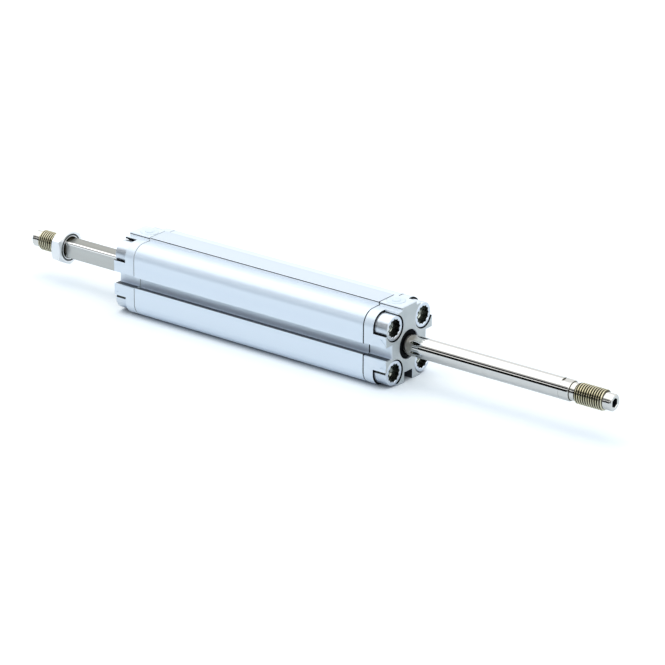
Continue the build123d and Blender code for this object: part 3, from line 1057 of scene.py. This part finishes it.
@dataclass
class CapScrews:
    """The four collar screws of one cap, each with a star socket and a threaded hole behind it.

    Lengths are in millimetres. upper_unshaded and lower_unshaded are the degrees to each side
    of the outward direction over which the heads stand clear of their pockets' walls; beyond
    them, the heads' sides carry painted shade.
    """

    finishes: Finishes
    end: End
    offset: float = 11.0
    head_radius: float = 6.05
    head_chamfer: float = 0.5
    socket_points: int = 12
    socket_radius: float = 4.65
    tooth: float = 0.6
    socket_depth: float = 3.0
    socket_mouth: float = 0.2
    shank_radius: float = 3.0
    shank_chamfer: float = 0.4
    hole_radius: float = 2.1
    hole_mouth: float = 2.6
    hole_depth: float = 4.4
    hole_pitch: float = 0.8
    pocket_depth: float = 7.3
    upper_unshaded: float = 66.0
    lower_unshaded: float = 52.0

    @property
    def node(self) -> str:
        """The node that holds the four screws."""
        return f"{self.end.word}_cap_screws"

    def turned(self, outwards: float, unshaded: float) -> Turning:
        """One screw, along its own axis.

        Args:
            outwards: angle round the screw at which its head stands clear of the pocket.
            unshaded: degrees to each side of it over which the head's side has no painted shade.

        Returns:
            The screw, with painted shade on its head's side where the pocket surrounds it.
        """
        inner, front = self.end.outwards(self.node)
        floor = front - self.socket_depth
        bottom = floor - self.hole_depth
        valley = self.socket_radius - self.tooth
        socket = star(self.socket_points, self.socket_radius, valley)
        wider = self.socket_mouth
        mouth = star(self.socket_points, self.socket_radius + wider, valley + wider)
        work = Turning(SCREW_SEGMENTS)
        work.ring(inner, 0.0)
        work.ring(inner, self.shank_radius - self.shank_chamfer)
        work.ring(inner + self.shank_chamfer, self.shank_radius)
        work.ring(-self.pocket_depth, self.shank_radius)
        work.ring(-self.pocket_depth, self.head_radius)
        # The head's side carries painted shade where the pocket surrounds it.
        off_outwards = np.abs((work.middles - outwards + pi) % FULL_TURN - pi)
        side = np.where(off_outwards < radians(unshaded), ScrewSlot.ZINC.value, ScrewSlot.DARK.value)
        work.ring(front - self.head_chamfer, self.head_radius, side)
        for inwards, back in quarter(self.head_chamfer)[1:]:
            work.ring(front - back, self.head_radius - inwards, ScrewSlot.ZINC)
        work.ring(front, mouth, ScrewSlot.ZINC)
        work.ring(front - self.socket_mouth, socket, ScrewSlot.ZINC)
        # The socket's walls and the hole's bottom carry painted shade.
        work.ring(floor, socket, ScrewSlot.DARK)
        # The socket floor and the hole's thread carry painted shade with painted glints.
        work.ring(floor, self.hole_mouth, ScrewSlot.FLOOR)
        lead = self.hole_mouth - self.hole_radius
        thread = Thread(self.hole_pitch, self.hole_radius, self.hole_mouth, lead, self.hole_mouth)
        work.thread(thread, floor, bottom, ScrewSlot.FLOOR)
        work.ring(bottom, 0.0, ScrewSlot.DARK)
        return work

    def build(self) -> None:
        """Build the four screws in place of their node."""
        parts = (Finishes.bright_zinc, Finishes.socket_wall_shade, Finishes.socket_floor_shade_and_glints)
        materials = self.finishes.materials(*parts)
        number = 0
        for level, unshaded in ((self.offset, self.upper_unshaded), (-self.offset, self.lower_unshaded)):
            for side in (-self.offset, self.offset):
                number += 1
                name = f"{self.end.word}_cap_screw_{number}"
                place = self.end.place() @ Matrix.Translation((0, side, level))
                mesh = self.turned(atan2(level, side), unshaded).mesh(name, place, materials)
                add_piece(name, mesh, HOUSING, self.node)


@dataclass
class Housing:
    """The barrel, its two caps, and what they hold.

    Lengths are in millimetres: depths from a cap's mounting face, the others from the rod's axis.
    The window is where a pocket opens to a side of its cap. A face is taken to be at a place when
    its middle lies within near of it, and inside a wall when within slack of it.
    """

    finishes: Finishes
    extruded_edge: float = 0.1
    cast_edge: float = 0.16
    offset: float = CapScrews.offset
    pocket_radius: float = 6.5
    pocket_rim: float = 0.4
    pocket_depth: float = CapScrews.pocket_depth
    window_edge: float = 8.8
    window_rim: float = 17.9
    joint_start: float = 12.35
    joint_end: float = 13.1
    joint_inside: float = 12.5
    band_half: float = 5.8
    band_top: float = 19.6
    band_groove: float = 0.42
    barrel_groove: tuple[float, float] = (18.98, 19.42)
    cap_groove: tuple[float, float] = (18.73, 19.17)
    flank_low: float = 18.02
    flare: float = 0.25
    slot_half: float = 3.2
    slot_mouth: float = 17.8
    slot_floor: float = 13.1
    near: float = 0.05
    slack: float = 0.02

    def ease(self, node: str, finish: Metal, width: float) -> None:
        """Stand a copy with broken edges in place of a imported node.

        Args:
            node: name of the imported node, whose form the copy keeps.
            finish: finish of the copy.
            width: width of the broken edges, in millimetres.
        """
        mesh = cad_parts[node].data.copy()
        mesh.name = f"{node}_eased"
        mesh.materials.clear()
        # Slots by zone: painted shade in gaps, slots and on the band, painted light on the flanks.
        parts = (finish, Finishes.dark_recess, Finishes.shaded_slot, Finishes.flank_painted_light, Finishes.band)
        for material in self.finishes.materials(*parts):
            mesh.materials.append(material)
        work = bmesh.new()
        work.from_mesh(mesh)
        bmesh.ops.remove_doubles(work, verts=work.verts, dist=NODE_WELD * MM)
        bmesh.ops.dissolve_limit(
            work, angle_limit=FLAT_ANGLE, verts=work.verts, edges=work.edges, delimit=set()
        )
        sharp = [e for e in work.edges if len(e.link_faces) == 2 and e.calc_face_angle(0) > EASE_ANGLE]
        bmesh.ops.bevel(
            work, geom=sharp, offset=width * MM, offset_type="OFFSET", segments=2, profile=0.5,
            affect="EDGES", clamp_overlap=True,
        )
        for face in work.faces:
            face.smooth = True
            face.material_index = self.part_of(face.calc_center_median())
        work.to_mesh(mesh)
        work.free()
        mesh.set_sharp_from_angle(angle=EASE_ANGLE)
        piece = add_piece(f"{node}_eased", mesh, HOUSING, node)
        even = piece.modifiers.new("even_normals", "WEIGHTED_NORMAL")
        even.keep_sharp = True

    def part_of(self, centre: Vector) -> Zone:
        """Which zone of a cap or the barrel a face lies in.

        Args:
            centre: the middle of the face, in metres.

        Returns:
            The zone.
        """
        x, y, z = (v / MM for v in centre)
        depth = min(end.depth(x) for end in End)
        in_cap = depth < self.joint_start
        beside_band = self.band_half - self.band_groove < abs(y) < self.band_half + self.flare
        # The round end's joint carries painted shade, the square end's painted light.
        for end, joint in ((End.ROUND, Zone.GAP), (End.SQUARE, Zone.FLANK)):
            in_joint = self.joint_start < end.depth(x) < self.joint_end
            if in_joint and max(abs(y), abs(z)) > self.joint_inside:
                return joint
        if z > self.flank_low and beside_band:
            return self.flank_part(abs(y), z, in_cap)
        # The top of the barrel's band carries painted shade.
        if z > self.band_top - self.near and not in_cap:
            return Zone.BAND
        # The inside of a cap's bottom slot carries painted shade.
        if in_cap and abs(y) < self.slot_half and -self.slot_mouth < z < -self.slot_floor:
            return Zone.SLOT
        # Screw pockets and their windows' edges carry painted shade.
        in_reach = self.pocket_rim < depth < self.pocket_depth + self.near
        return Zone.GAP if in_reach and self.in_pocket(x, y, z) else Zone.SIDE

    def flank_part(self, off_middle: float, height: float, in_cap: bool) -> Zone:
        """Which zone a face beside the raised band lies in.

        Args:
            off_middle: its distance from the middle of the band.
            height: its height.
            in_cap: whether it belongs to a cap.

        Returns:
            The zone: painted shade in the groove, painted light on the flank, or the side for the broken
            edge above them.
        """
        low, high = self.cap_groove if in_cap else self.barrel_groove
        if low < height < high and off_middle < self.band_half - self.slack:
            return Zone.GAP
        return Zone.FLANK if height < self.band_top - self.near else Zone.SIDE

    def in_pocket(self, x: float, y: float, z: float) -> bool:
        """Whether a face is a screw pocket's wall, or an edge where the pocket opens to a side.

        Args:
            x: place of the face along the rod.
            y: its place sideways.
            z: its height.

        Returns:
            True for the wall, for level edges, and for upright edges at the square end, all in painted
            shade.
        """
        off_screw = hypot(abs(y) - self.offset, abs(z) - self.offset)
        if off_screw < self.pocket_radius + self.slack:
            return True
        inner, outer = sorted((abs(y), abs(z)))
        on_edge = abs(inner - self.window_edge) < self.near and self.offset < outer < self.window_rim
        at_square_end = End.SQUARE.depth(x) < End.ROUND.depth(x)
        return on_edge and (abs(y) > abs(z) or at_square_end)

    def build(self) -> None:
        """Dress the housing's nodes and build the screws."""
        self.ease("barrel", Finishes.extruded, self.extruded_edge)
        for end in End:
            self.ease(f"{end.word}_rod_cap", Finishes.cast, self.cast_edge)
            self.finishes.dress(f"{end.word}_rod_bush", Finishes.bronze)
            for rubber in ("rod_wiper", "cap_seal", "end_bumper"):
                self.finishes.dress(f"{end.word}_{rubber}", Finishes.rubber)
            self.finishes.dress(f"{end.word}_end_port_plug", Finishes.plug_plastic)
            CapScrews(self.finishes, end).build()


@dataclass
class Piston:
    """The piston inside the barrel."""

    finishes: Finishes

    def build(self) -> None:
        """Dress the piston's nodes."""
        for half in ("piston_round_half", "piston_square_half"):
            self.finishes.dress(half, Finishes.extruded)
        self.finishes.dress("piston_magnet", Finishes.magnet)
        self.finishes.dress("piston_guide_ring", Finishes.guide_plastic)
        for seal in ("piston_round_side_seal", "piston_square_side_seal", "stud_seal"):
            self.finishes.dress(seal, Finishes.rubber)


@dataclass
class Card:
    """A plain card that only shine sees, as photographers stand beside a product.

    Attributes:
        name: name of the card.
        low: angle of its lower edge above the horizon in front, in degrees.
        high: angle of its upper edge.
        shade: brightness of the card.
        distance: how far it stands from the rod, in metres.
        length: its length along the rod, in metres.
        steps: number of flat strips that make up its curve.
    """

    name: str
    low: float
    high: float
    shade: float
    distance: float = 1.0
    length: float = 7.0
    steps: int = 8

    def build(self) -> None:
        """Stand the card up beside the cylinder, curved about the rod."""
        corners = []
        for step in range(self.steps + 1):
            tilt = radians(self.low + (self.high - self.low) * step / self.steps)
            back, up = -self.distance * cos(tilt), self.distance * sin(tilt)
            corners += [(-self.length / 2, back, up), (self.length / 2, back, up)]
        faces = [(2 * i, 2 * i + 1, 2 * i + 3, 2 * i + 2) for i in range(self.steps)]
        material = bpy.data.materials.new(self.name)
        g = Graph(material)
        glow = g.node("Emission", {"Color": WHITE, "Strength": self.shade})
        g.node("OutputMaterial", {"Surface": glow.outputs["Emission"]})
        card = add_prop(self.name, corners, faces, material)
        card.visible_camera = False
        card.visible_diffuse = False
        card.visible_shadow = False
        card.visible_transmission = False


@dataclass
class Studio:
    """The white studio: world, floor, lamp, cards and camera.

    Lengths are in metres, but lens and sensor in millimetres, and angles are in degrees. The floor
    has floor_paint where it is seen and floor_bounce as light on the cylinder. It carries a painted
    contact shadow where the share of open air within contact_reach is less than contact_full.
    """

    ambient: Colour = (0.70, 0.81, 0.93)
    floor_half: float = 6.0
    floor_paint: Colour = (0.95, 0.93, 0.91)
    floor_bounce: Colour = (0.9, 0.92, 0.94)
    floor_glow: Colour = (0.24, 0.26, 0.27)
    floor_contact_shadow: Colour = (0.03, 0.06, 0.12)
    contact_reach: float = 0.012
    contact_full: float = 0.62
    key_power: float = 3.4
    key_colour: Colour = (1.0, 0.93, 0.80)
    key_place: tuple[float, float, float] = (-0.35, 0.15, 1.1)
    key_size: float = 0.8
    lens: float = 197.9
    sensor: float = 36.0
    azimuth: float = 37.589
    elevation: float = 21.531
    roll: float = 0.248
    camera_place: tuple[float, float, float] = (0.91719, -1.26015, 0.62457)
    shift: tuple[float, float] = (0.0219, -0.0133)
    clip_end: float = 50.0

    CARDS: ClassVar[tuple[Card, ...]] = (
        Card("front_black_card", low=-9.0, high=18.0, shade=0.01, distance=0.25),
        Card("front_light_card", low=18.0, high=24.0, shade=1.3),
        Card("front_dark_card", low=24.0, high=38.0, shade=0.03),
        Card("front_upper_card", low=38.0, high=49.0, shade=0.5),
        Card("overhead_card", low=49.0, high=137.0, shade=1.6),
    )

    def world(self) -> None:
        """A white world to the camera and to metal, and a dimmer one as ambient light."""
        world = bpy.data.worlds.new("studio")
        bpy.context.scene.world = world
        g = Graph(world)
        dim = g.node("Background", {"Color": (*self.ambient, 1.0)})
        white = g.node("Background", {"Color": WHITE})
        mix = g.node("MixShader", {0: g.seen(), 1: dim.outputs[0], 2: white.outputs[0]})
        g.node("OutputWorld", {"Surface": mix.outputs[0]})

    def floor_material(self) -> Material:
        """White paint with a painted contact shadow right under the housing, glowing a little to the
        camera.
        """
        material = bpy.data.materials.new("floor_white")
        g = Graph(material)
        near = g.node("AmbientOcclusion", {"Distance": self.contact_reach})
        open_air = g.ramp(near.outputs["AO"], 0.0, self.contact_full)
        paint = g.node(
            "BsdfDiffuse", {"Color": g.blend(open_air, self.floor_contact_shadow, self.floor_paint)}
        )
        bounce = g.node("BsdfDiffuse", {"Color": (*self.floor_bounce, 1.0)})
        mix = g.node("MixShader", {0: g.seen(), 1: bounce.outputs[0], 2: paint.outputs[0]})
        strength = g.product(g.node("LightPath").outputs["Is Camera Ray"], open_air)
        glow = g.node("Emission", {"Color": (*self.floor_glow, 1.0), "Strength": strength})
        total = g.node("AddShader", {0: mix.outputs[0], 1: glow.outputs[0]})
        g.node("OutputMaterial", {"Surface": total.outputs[0]})
        return material

    def floor(self) -> None:
        """A white floor under the housing, which keeps its shadow."""
        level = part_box("barrel")[0].z
        half = self.floor_half
        corners = [(x * half, y * half, level) for x, y in ((-1, -1), (1, -1), (1, 1), (-1, 1))]
        add_prop("floor", corners, [(0, 1, 2, 3)], self.floor_material())

    def lamp(self) -> None:
        """Hang the soft square key lamp, which points at the middle of the housing."""
        light = bpy.data.lights.new("key_lamp", "AREA")
        light.size = self.key_size
        light.energy = self.key_power
        light.color = self.key_colour
        lamp = in_scene("key_lamp", light)
        low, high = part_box("barrel")
        aim = (low + high) / 2 - Vector(self.key_place)
        lamp.location = self.key_place
        lamp.rotation_euler = aim.to_track_quat("-Z", "Y").to_euler()
        lamp.visible_glossy = False
        lamp.visible_camera = False

    def camera(self) -> None:
        """Stand the camera where the photograph was taken from."""
        turn, lift, lean = radians(self.azimuth), radians(self.elevation), radians(self.roll)
        back = Vector((cos(lift) * sin(turn), -cos(lift) * cos(turn), sin(lift)))
        right = Vector((cos(turn), sin(turn), 0))
        up = back.cross(right)
        level = cos(lean) * right + sin(lean) * up
        upright = -sin(lean) * right + cos(lean) * up
        data = bpy.data.cameras.new("camera")
        data.lens = self.lens
        data.sensor_width = self.sensor
        data.shift_x, data.shift_y = self.shift
        data.clip_end = self.clip_end
        camera = in_scene("camera", data)
        axes = Matrix((level, upright, back)).transposed().to_4x4()
        camera.matrix_world = Matrix.Translation(self.camera_place) @ axes
        bpy.context.scene.camera = camera

    def build(self) -> None:
        """Set up the whole studio."""
        bpy.context.scene.view_settings.view_transform = "Standard"
        self.world()
        self.floor()
        self.lamp()
        for card in self.CARDS:
            card.build()
        self.camera()


def main() -> None:
    """Build the studio and every piece."""
    logging.basicConfig(level=logging.INFO, format="%(message)s")
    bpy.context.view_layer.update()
    Studio().build()
    finishes = Finishes()
    for assembly in (Housing, RoundRod, SquareRod, LockNut, Piston):
        assembly(finishes).build()


if __name__ == "__main__":
    main()
